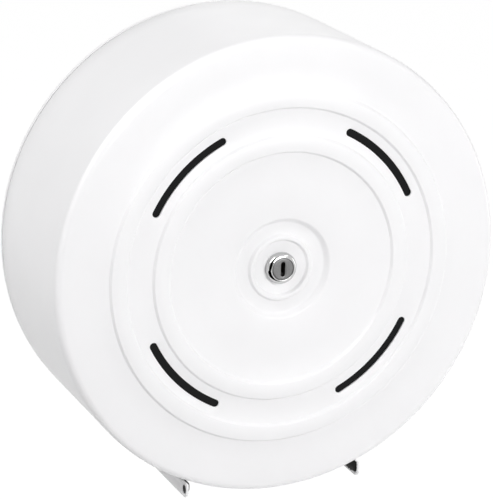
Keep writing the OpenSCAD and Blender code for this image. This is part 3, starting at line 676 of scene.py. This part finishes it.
@step
class DISPENSER_OT_add_cover(bpy.types.Operator):
    """Draws the drum's outer skin, spins it, gives it its sheet and cuts slots and outlet"""
    bl_idname = "dispenser.add_cover"
    bl_label = "Add Cover"

    def execute(self, context):
        cover, lock = context.scene.dispenser_cover, context.scene.dispenser_lock
        inner_flat, middle_flat, outer_flat = 60 * MM, 100 * MM, 136 * MM
        wall_loops = (0.7, 0.45, 0.2)
        radii = ([0.0] + ring_radii(cover.lock_ring, cover.lock_ring_width, cover.lock_ring_slope)
                 + steps_between(cover.recess_radius - cover.recess_slope, cover.recess_slope)
                 + [inner_flat] + ring_radii(cover.inner_ring, cover.ring_width, cover.ring_slope)
                 + [middle_flat] + ring_radii(cover.outer_ring, cover.ring_width, cover.ring_slope)
                 + [outer_flat])
        profile = [(r, face_depth(cover, r)) for r in radii]
        corner = (cover.radius - cover.front_round, cover.depth - cover.front_round)
        profile += arc(corner, cover.front_round, 90, 0, 10)
        profile += [(cover.radius, cover.depth * part) for part in wall_loops]
        profile += [(cover.radius, cover.rear)]
        drum = lathe("drum_cover", profile, steps=192)
        if max(face.normal.dot(face.center) for face in drum.data.polygons[:50]) < 0:
            flip(drum)
        thicken(drum, cover.sheet)
        cutters = [slot_cutter(cover, math.radians(turn)) for turn in (45, 135, 225, 315)]
        behind_recess = cover.depth - 6 * MM
        cutters.append(barrel_cutter(lock.barrel / 2 + FIT, lock.flats + 2 * FIT,
                                     behind_recess, cover.depth))
        combine(drum, joined("face_cutters", cutters))
        combine(drum, outlet_cutter(cover))
        soften(drum, 0.2 * MM)
        hand_over(drum, "cover", "cover_shell", finishes(context)["paint"])
        return {"FINISHED"}


@step
class DISPENSER_OT_add_wall_plate(bpy.types.Operator):
    """Draws the back plate's section, spins it and cuts its slots, holes and outlet"""
    bl_idname = "dispenser.add_wall_plate"
    bl_label = "Add Wall Plate"

    def execute(self, context):
        size, cheek = context.scene.dispenser_plate, context.scene.dispenser_cheek
        sheet = size.sheet

        def wall_side(r):
            return (size.dish_height * eased((size.dish_radius - r) / size.dish_slope)
                    + raised(r, size.rib_radius, size.rib_width, size.rib_height, size.rib_slope))

        inner_flat, outer_flat = 85 * MM, 140 * MM
        radii = ([0.0] + steps_between(size.dish_radius - size.dish_slope, size.dish_slope)
                 + [inner_flat] + ring_radii(size.rib_radius, size.rib_width, size.rib_slope)
                 + [outer_flat])
        inside = size.collar_radius - sheet
        edge = 0.35 * MM
        profile = [(r, wall_side(r)) for r in radii]
        profile += arc((size.rim_radius - sheet, sheet), sheet, -90, 0, 6)
        profile += arc((size.rim_radius - edge, size.rim_height - edge), edge, 0, 90, 3)
        profile += [(size.collar_radius, size.rim_height)]
        profile += arc((size.collar_radius - edge, size.collar_top - edge), edge, 0, 90, 3)
        profile += arc((inside + edge, size.collar_top - edge), edge, 90, 180, 3)
        profile += arc((inside - sheet, 2 * sheet), sheet, 0, -90, 6)
        profile += [(r, wall_side(r) + sheet) for r in reversed(radii)]
        pressing = lathe("wall_plate", profile, steps=192)
        reach = (size.wall_slot_length - size.wall_slot_width) / 2
        half = size.wall_slot_width / 2
        outline = arc((reach, 0), half, -90, 90, 12) + arc((-reach, 0), half, 90, 270, 12)
        over = 5 * MM
        holes = []
        for across in (-size.wall_pitch_x / 2, size.wall_pitch_x / 2):
            for up in (-size.wall_pitch_z / 2, size.wall_pitch_z / 2):
                moved = [(across + x, up + z) for x, z in outline]
                holes.append(plate("wall_slot", upright(moved, -over), place(0, 0, 3 * over)))
        feet = foot_rivets(cheek)
        holes += [pin("foot_hole", x, z, -3 * MM, 4 * MM, RIVET_HOLE) for x, z in feet]
        holes += [pin("flange_hole", x, z, 3 * MM, 9 * MM, RIVET_HOLE)
                  for x, z in flange_rivets()]
        combine(pressing, joined("plate_cutters", holes))
        half = context.scene.dispenser_cover.outlet_half
        outlet = [place(x, -cheek.foot_low, d)
                  for x, d in rectangle(-half, half, sheet, 30 * MM)]
        combine(pressing, plate("outlet_block", outlet, place(0, -40 * MM, 0)))
        sink_radius, sink = 3.09 * MM, 1.2 * MM  # countersinks on the wall's side
        sinks = []
        for x, z in feet:
            clear_selection()
            bpy.ops.mesh.primitive_cone_add(vertices=32, radius1=sink_radius, radius2=RIVET_HOLE,
                                            depth=sink, rotation=(math.pi / 2, 0, 0),
                                            location=place(x, z, sink / 2))
            apply_placing()
            sinks.append(bpy.context.object)
        combine(pressing, joined("sinks", sinks))
        soften(pressing, 0.15 * MM)
        hand_over(pressing, "base", "back_plate", finishes(context)["paint"])
        return {"FINISHED"}


def foot_rivets(cheek):
    """Places (across, up) of the rivets in the cheeks' feet."""
    across = cheek.middle - cheek.sheet / 2 - cheek.foot_width / 2
    return [(side * across, part * cheek.foot_height - cheek.foot_low)
            for side in (-1, 1) for part in (0.25, 0.75)]


def flange_rivets():
    """Places (across, up) of the rivets in the spindle's flange."""
    circle = 25 * MM
    return [(circle * math.cos(turn), circle * math.sin(turn))
            for turn in map(math.radians, (225, 135, 315, 45))]


def tongue_corner(cheek):
    """Radius of the tongue's top corner, just inside the lip's thickness."""
    return cheek.sheet - 0.1 * MM


def eye_depths(cheek):
    """Depths of the three eyes in a cheek."""
    first = cheek.blade_rear + cheek.blade_corner + cheek.eye / 2
    last = cheek.front - cheek.sheet - 2 * FIT - cheek.eye / 2
    return [first, (first + last) / 2, last]


def cheek_lip(size):
    """The lip along the front edge, which follows the rounded lower corner."""
    corner = (size.front - size.corner, size.corner - size.below)
    top, edge = -size.tongue, tongue_corner(size)
    outline = (arc(corner, size.corner, -90, 0, 10)
               + arc((size.front - edge, top - edge), edge, 0, 90, 5)
               + [(size.front - size.sheet, top)]
               + arc(corner, size.corner - size.sheet, 0, -90, 10))
    outer = size.middle + size.sheet / 2
    return plate("cheek_lip", sideways(outline, outer - size.lip),
                 place(size.lip - size.sheet / 2, 0, 0))


@step
class DISPENSER_OT_add_cheeks(bpy.types.Operator):
    """Draws a cheek's outline, folds its foot, gives it its sheet, its lip and its eyes"""
    bl_idname = "dispenser.add_cheeks"
    bl_label = "Add Cheeks"

    def execute(self, context):
        size = context.scene.dispenser_cheek
        low, tongue, top = -size.below, -size.tongue, -129.4 * MM
        tongue_rear, notch = 104 * MM, 9 * MM
        foot_low, foot_high = -size.foot_low, size.foot_height - size.foot_low
        rear, foot_front = size.sheet, 2 * size.sheet
        outer = size.middle + size.sheet / 2
        outline = [(rear, low)]
        outline += arc((size.front - size.corner, low + size.corner), size.corner, -90, 0, 10)
        edge = tongue_corner(size)
        outline += arc((size.front - edge, tongue - edge), edge, 0, 90, 5)
        outline += [(tongue_rear, tongue), (tongue_rear, top), (foot_front + notch, top),
                    (foot_front, foot_high), (rear, foot_high), (rear, foot_low)]
        sheet = draw("cheek_plate_right", sideways(outline, outer), closed=True)
        bpy.ops.mesh.edge_face_add()
        bpy.ops.mesh.select_all(action="DESELECT")
        done()
        for fold in sheet.data.edges:
            ends = [sheet.data.vertices[i] for i in fold.vertices]
            fold.select = all(abs(end.co.y + rear) < WELD and end.co.z > foot_low - WELD
                              for end in ends)
            for end in ends:
                end.select = end.select or fold.select
        bpy.ops.object.mode_set(mode="EDIT")
        bpy.ops.mesh.select_mode(type="EDGE")
        bpy.ops.mesh.extrude_region_move(
            TRANSFORM_OT_translate={"value": (-(size.foot_width + size.sheet), 0, 0)})
        done()
        tidy_mesh(sheet)
        if [face for face in sheet.data.polygons if abs(face.normal.x) > 0.9][0].normal.x < 0:
            flip(sheet)
        thicken(sheet, size.sheet)
        combine(sheet, cheek_lip(size), "UNION")
        reach, up = 5 * MM, -size.eye_below
        eyes = [rod("eye", place(outer - reach, up, d), place(outer + reach, up, d),
                    size.eye / 2, 40) for d in eye_depths(size)]
        eyes += [pin("rivet_hole", x, z, -2 * MM, 6 * MM, RIVET_HOLE)
                 for x, z in foot_rivets(size) if x > 0]
        combine(sheet, joined("cheek_cutters", eyes))
        soften(sheet, 0.25 * MM, sharp=55)
        paint = finishes(context)["paint"]
        twin = mirrored(sheet, "cheek_plate_left")
        for piece, node in ((sheet, "right_cheek"), (twin, "left_cheek")):
            hand_over(piece, "base", node, paint)
        return {"FINISHED"}


@step
class DISPENSER_OT_add_blades(bpy.types.Operator):
    """Draws a toothed blade, extrudes it and adds its pegs"""
    bl_idname = "dispenser.add_blades"
    bl_label = "Add Tear Blades"

    def execute(self, context):
        size = context.scene.dispenser_cheek
        inner = size.middle - size.sheet / 2 - size.blade
        low, top, rear = -size.blade_below, -size.tongue - FIT, size.blade_rear
        front = size.front - size.sheet - 4 * FIT
        corner, top_corner = size.blade_corner, tongue_corner(size)
        tooth_flat, peg_sink = 0.3 * MM, 0.3 * MM
        teeth = int((front - corner - rear) / size.tooth_pitch)
        root = low + size.tooth_height
        outline = []
        for i in range(teeth):
            start = rear + i * size.tooth_pitch
            tip = start + size.tooth_pitch / 2
            outline += [(start, root), (tip - tooth_flat, low), (tip + tooth_flat, low)]
        outline += arc((front - corner, root + corner), corner, -90, 0, 8)
        outline += arc((front - top_corner, top - top_corner), top_corner, 0, 90, 5)
        outline += [(rear, top)]
        blade = plate("toothed_blade_right", sideways(outline, inner), place(size.blade, 0, 0))
        soften(blade, 0.15 * MM, sharp=70)
        pegs = [blade]
        for d in eye_depths(size):
            peg = rod("peg", place(inner + size.blade / 2, -size.eye_below, d),
                      place(inner + size.blade + size.sheet - peg_sink, -size.eye_below, d),
                      size.eye / 2 - FIT, 40)
            soften(peg, 0.35 * MM, segments=3)
            pegs.append(peg)
        whole = joined("toothed_blade_right", pegs)
        black = finishes(context)["blade"]
        twin = mirrored(whole, "toothed_blade_left")
        for piece, node in ((whole, "right_tear_blade"), (twin, "left_tear_blade")):
            hand_over(piece, "base", node, black)
        return {"FINISHED"}


@step
class DISPENSER_OT_add_hub(bpy.types.Operator):
    """Spins the roll hub's section and pierces its front web"""
    bl_idname = "dispenser.add_hub"
    bl_label = "Add Roll Hub"

    def execute(self, context):
        size = context.scene.dispenser_hub
        bore, inside = size.bore, size.radius - size.wall
        rear, front, edge = size.rear, size.front, size.flange / 2
        fillet = 1.2 * MM
        profile = [(bore, rear)]
        profile += arc((size.flange_radius - edge, rear + edge), edge, -90, 90, 8)
        profile += arc((size.radius + fillet, rear + size.flange + fillet), fillet, -90, -180, 4)
        profile += arc((size.radius - fillet, front - fillet), fillet, 0, 90, 5)
        profile += [(bore, front), (bore, front - size.web)]
        profile += [(inside, front - size.web), (inside, rear + size.web),
                    (bore, rear + size.web)]
        hub = lathe("core_hub", profile, steps=128, closed=True)
        middle, hole_radius, over = (bore + inside) / 2, (inside - bore) * 0.27, 2 * MM
        holes = [pin("web_hole", middle * math.cos(turn), middle * math.sin(turn),
                     front - size.web - over, front + over, hole_radius, 20)
                 for turn in (math.radians(60 * i) for i in range(6))]
        combine(hub, joined("web_cutters", holes))
        soften(hub, 0.2 * MM)
        hand_over(hub, "hub", "roll_hub", finishes(context)["hub"])
        return {"FINISHED"}


@step
class DISPENSER_OT_add_lock_head(bpy.types.Operator):
    """Spins the lock's crowned head and threaded barrel and mills the flats"""
    bl_idname = "dispenser.add_lock_head"
    bl_label = "Add Lock Head"

    def execute(self, context):
        size = context.scene.dispenser_lock
        outer, top, barrel = size.head / 2, size.top / 2, size.barrel / 2
        pitch, thread_depth, crest = 1.25 * MM, 0.5 * MM, 0.1 * MM
        thread = []
        for i in range(10):
            start = size.barrel_rear + i * pitch
            thread += [(barrel, start + crest), (barrel - thread_depth, start + pitch / 2),
                       (barrel, start + pitch - crest)]
        brim = size.floor + size.edge
        crown = arc((top, brim), outer - top, 0, 90, 12, size.head_top - brim)
        bore, plug_bore = size.face / 2 + FIT, size.plug / 2 + FIT
        seat = size.head_top - size.face_height - FIT
        edge = 0.4 * MM
        profile = thread + [(barrel, size.floor)]
        profile += arc((outer - edge, size.floor + edge), edge, -90, 0, 4)
        profile += crown + arc((bore + edge, size.head_top - edge), edge, 90, 180, 5)
        profile += [(bore, seat), (plug_bore, seat), (plug_bore, size.barrel_rear)]
        head = lathe("lock_head", profile, steps=96, closed=True)
        reach, over, gap = 12 * MM, 2 * MM, 0.02 * MM
        for side in (-1, 1):
            outline = [(side * x, z) for x, z in
                       rectangle(size.flats / 2, reach, -10 * MM, 10 * MM)]
            combine(head, plate("flat", upright(outline, size.barrel_rear - over),
                                place(0, 0, size.floor - size.barrel_rear + over - gap)))
        hand_over(head, "cover", "lock_body", finishes(context)["chrome"])
        return {"FINISHED"}


@step
class DISPENSER_OT_add_lock_plug(bpy.types.Operator):
    """Spins the plug, sinks its keyhole and adds the stem and square for the cam"""
    bl_idname = "dispenser.add_lock_plug"
    bl_label = "Add Lock Plug"

    def execute(self, context):
        size = context.scene.dispenser_lock
        face, plug, top = size.face / 2, size.plug / 2, size.head_top
        rear, shoulder = size.barrel_rear, top - size.face_height
        stem, square = 3.1 * MM, 2.2 * MM
        stem_rear, square_rear, square_height = 96.4 * MM, 93.5 * MM, 4 * MM
        edge, flat = 0.5 * MM, 1.4 * MM
        profile = [(0.0, stem_rear), (stem, stem_rear), (stem, rear), (plug, rear),
                   (plug, shoulder), (face, shoulder)]
        profile += arc((face - edge, top - edge), edge, 0, 90, 4)
        profile += [(face - flat, top), (0.0, top)]
        cylinder = lathe("lock_cylinder", profile, steps=96)
        half_h, half_w = size.keyhole_height / 2, size.keyhole_width / 2
        mouth = (arc((0, half_h - half_w), half_w, 0, 180, 12)
                 + arc((0, half_w - half_h), half_w, 180, 360, 12))
        keyhole_depth, bevel = 2.4 * MM, 0.15 * MM
        screw_radius, screw_end = 1.55 * MM, 101.5 * MM
        combine(cylinder, plate("keyhole", upright(mouth, top - keyhole_depth),
                                place(0, 0, 4 * MM)))
        slit = rectangle(-1.2 * MM, 1.2 * MM, -3.2 * MM, 3.2 * MM)
        combine(cylinder, plate("keyway", upright(slit, rear + MM),
                                place(0, 0, top - rear - 1.5 * MM)))
        soften(cylinder, 0.18 * MM)
        end = plate("square_end", upright(rectangle(-square, square, -square, square),
                                          square_rear), place(0, 0, square_height))
        soften(end, 0.2 * MM)
        combine(end, pin("screw_bore", 0, 0, square_rear - 1.5 * MM, screw_end, screw_radius))
        whole = joined("lock_cylinder", [cylinder, end])
        made = finishes(context)
        hand_over(whole, "lock", "lock_plug", made["plug"])
        # The faces inside the keyhole take the second material, painted shade for the dark inside
        # the hole.
        whole.data.materials.append(made["keyhole"])
        for face in whole.data.polygons:
            across, behind, up = face.center
            if abs(across) < half_w and abs(up) < half_h and rear < -behind < top - bevel:
                face.material_index = 1
        return {"FINISHED"}


CARRIED = {
    "zinc": ["cheek_rivets", "spindle_flange", "flange_rivets", "spindle_tube",
             "spindle_circlip", "catch_pin", "window_studs", "window_clips", "lock_washer",
             "lock_nut", "lock_cam", "cam_washer", "cam_screw"],
    "nylon": ["rear_thrust_washer", "front_thrust_washer", "rear_hub_bush", "front_hub_bush"],
    "window": ["sight_window"],
    "brass": ["lock_catch", "lock_wafers"],
}


@step
class DISPENSER_OT_finish_fittings(bpy.types.Operator):
    """Gives the small fittings, whose shapes stay as built, their finishes"""
    bl_idname = "dispenser.finish_fittings"
    bl_label = "Finish Fittings"

    def execute(self, context):
        made = finishes(context)
        for finish, nodes in CARRIED.items():
            for name in nodes:
                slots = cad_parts[name].data.materials
                slots.clear()
                slots.append(made[finish])
        return {"FINISHED"}


# ---- Stage --------------------------------------------------------------------------


def seen_directly(tree):
    """1 for rays from the camera, a mirror or clear material, else 0."""
    path = add_node(tree, "ShaderNodeLightPath").outputs
    total = path["Is Camera Ray"]
    for name in ("Is Glossy Ray", "Is Transmission Ray"):
        total = add_node(tree, "ShaderNodeMath", {0: total, 1: path[name]},
                         operation="MAXIMUM").outputs["Value"]
    return total


# name, azimuth, height angle, distance, diameter, power; azimuth 0 is the front, 90 the right
LAMPS = (
    ("left_lamp", -82, 45, 2.0, 1.6, 30.0),
    ("front_lamp", 10, 15, 2.0, 1.4, 26.0),
    ("key_lamp", 50, 38, 2.0, 0.6, 2.6),
    ("right_lamp", 80, 0, 2.0, 1.2, 6.0),
    ("rear_right_lamp", 150, 20, 2.0, 1.2, 2.0),
    ("rear_left_lamp", -150, -10, 2.0, 1.0, 0.6),
)

# name, azimuth and distance of the middle, height of the middle, width, height or length,
# and whether it lies flat; only mirrors see these black sheets
FLAGS = (
    ("rear_flag", -25, 2.75, 1.0, 4.2, 3.8, False),
    ("low_flag", -38, 1.75, -0.88, 2.6, 2.4, True),
)


@step
class DISPENSER_OT_add_stage(bpy.types.Operator):
    """Adds the pale floor, the soft studio light and the camera"""
    bl_idname = "dispenser.add_stage"
    bl_label = "Add Stage"

    def execute(self, context):
        stage = context.scene.dispenser_stage
        self.add_floor(stage)
        self.light_world(context, stage)
        self.add_flags()
        self.add_lamps(stage)
        self.add_camera(context, stage)
        context.scene.view_settings.view_transform = "Standard"
        return {"FINISHED"}

    def add_floor(self, stage):
        clear_selection()
        bpy.ops.mesh.primitive_plane_add(size=24, location=(0, 0, stage.floor_height))
        floor = bpy.context.object
        floor.name = "floor"
        paper = bpy.data.materials.new("floor_paper")
        paper.use_nodes = True
        tree = paper.node_tree
        tree.nodes.clear()
        matt, lit = (add_node(tree, "ShaderNodeBsdfDiffuse", {"Color": (grey, grey, grey, 1)})
                     for grey in (0.9, 0.25))
        glow = add_node(tree, "ShaderNodeEmission", {"Strength": 0.96})
        bright = add_node(tree, "ShaderNodeAddShader", {0: lit.outputs[0], 1: glow.outputs[0]})
        mix = add_node(tree, "ShaderNodeMixShader",
                       {0: seen_directly(tree), 1: matt.outputs[0], 2: bright.outputs[0]})
        add_node(tree, "ShaderNodeOutputMaterial", {"Surface": mix.outputs[0]})
        floor.data.materials.append(paper)

    def light_world(self, context, stage):
        world = bpy.data.worlds.new("studio")
        context.scene.world = world
        world.use_nodes = True
        tree = world.node_tree
        strength = add_node(tree, "ShaderNodeMapRange", {"Value": seen_directly(tree),
                                                         "To Min": stage.ambient, "To Max": 1.0})
        feed(tree, tree.nodes["Background"],
             {"Color": (1, 1, 1, 1), "Strength": strength.outputs["Result"]})

    def add_flags(self):
        cloth = bpy.data.materials.new("flag_cloth")
        cloth.use_nodes = True
        feed(cloth.node_tree, cloth.node_tree.nodes["Principled BSDF"],
             {"Base Color": (0, 0, 0, 1), "Specular IOR Level": 0})
        for name, turn, away, high, width, length, flat in FLAGS:
            turn = math.radians(turn)
            clear_selection()
            bpy.ops.mesh.primitive_plane_add(
                size=1, location=(away * math.sin(turn), -away * math.cos(turn), high),
                rotation=(0 if flat else math.pi / 2, 0, turn))
            flag = bpy.context.object
            flag.name = name
            flag.scale = (width, length, 1)
            flag.visible_camera = flag.visible_diffuse = flag.visible_shadow = False
            flag.data.materials.append(cloth)

    def add_lamps(self, stage):
        for name, turn, rise, away, size, power in LAMPS:
            turn, rise = math.radians(turn), math.radians(rise)
            spot = away * Vector((math.cos(rise) * math.sin(turn),
                                  -math.cos(rise) * math.cos(turn), math.sin(rise)))
            clear_selection()
            bpy.ops.object.light_add(type="AREA", location=spot,
                                     rotation=(-spot).to_track_quat("-Z", "Y").to_euler())
            lamp = bpy.context.object
            lamp.name = name
            lamp.data.shape = "DISK"
            lamp.data.size = size
            lamp.data.energy = power * stage.lamp_level

    def add_camera(self, context, stage):
        yaw, pitch, roll = math.radians(23.0), math.radians(-17.0), math.radians(1.82)
        turn = (Matrix.Rotation(-yaw, 4, "Z") @ Matrix.Rotation(math.pi / 2 + pitch, 4, "X")
                @ Matrix.Rotation(roll, 4, "Z"))
        clear_selection()
        spot = place(-0.6268, 0.4854, 1.5355)
        bpy.ops.object.camera_add(location=spot, rotation=turn.to_euler())
        camera = bpy.context.object
        camera.name = "camera"
        camera.data.lens = stage.lens
        camera.data.sensor_width = 36
        camera.data.clip_start, camera.data.clip_end = 0.05, 60
        context.scene.camera = camera


# ---- Panel and start ----------------------------------------------------------------


class DISPENSER_PT_panel(bpy.types.Panel):
    """Lists the dispenser's pieces in the 3D view's sidebar"""
    bl_idname = "DISPENSER_PT_panel"
    bl_label = "Jumbo Roll Dispenser"
    bl_space_type = "VIEW_3D"
    bl_region_type = "UI"
    bl_category = "Dispenser"

    def draw(self, context):
        for kind in STEPS:
            self.layout.operator(kind.bl_idname)


GROUPS = {"dispenser_cover": CoverSizes, "dispenser_plate": PlateSizes,
          "dispenser_cheek": CheekSizes, "dispenser_hub": HubSizes,
          "dispenser_lock": LockSizes, "dispenser_finishes": Finishes,
          "dispenser_stage": StageSettings}


def register():
    for kind in (*GROUPS.values(), *STEPS, DISPENSER_PT_panel):
        bpy.utils.register_class(kind)
    for name, group in GROUPS.items():
        setattr(bpy.types.Scene, name, PointerProperty(type=group))


def unregister():
    for name in GROUPS:
        delattr(bpy.types.Scene, name)
    for kind in reversed((*GROUPS.values(), *STEPS, DISPENSER_PT_panel)):
        bpy.utils.unregister_class(kind)


def main():
    register()
    for kind in STEPS:
        group, action = kind.bl_idname.split(".")
        getattr(getattr(bpy.ops, group), action)()
    clear_selection()


if __name__ == "__main__":
    main()
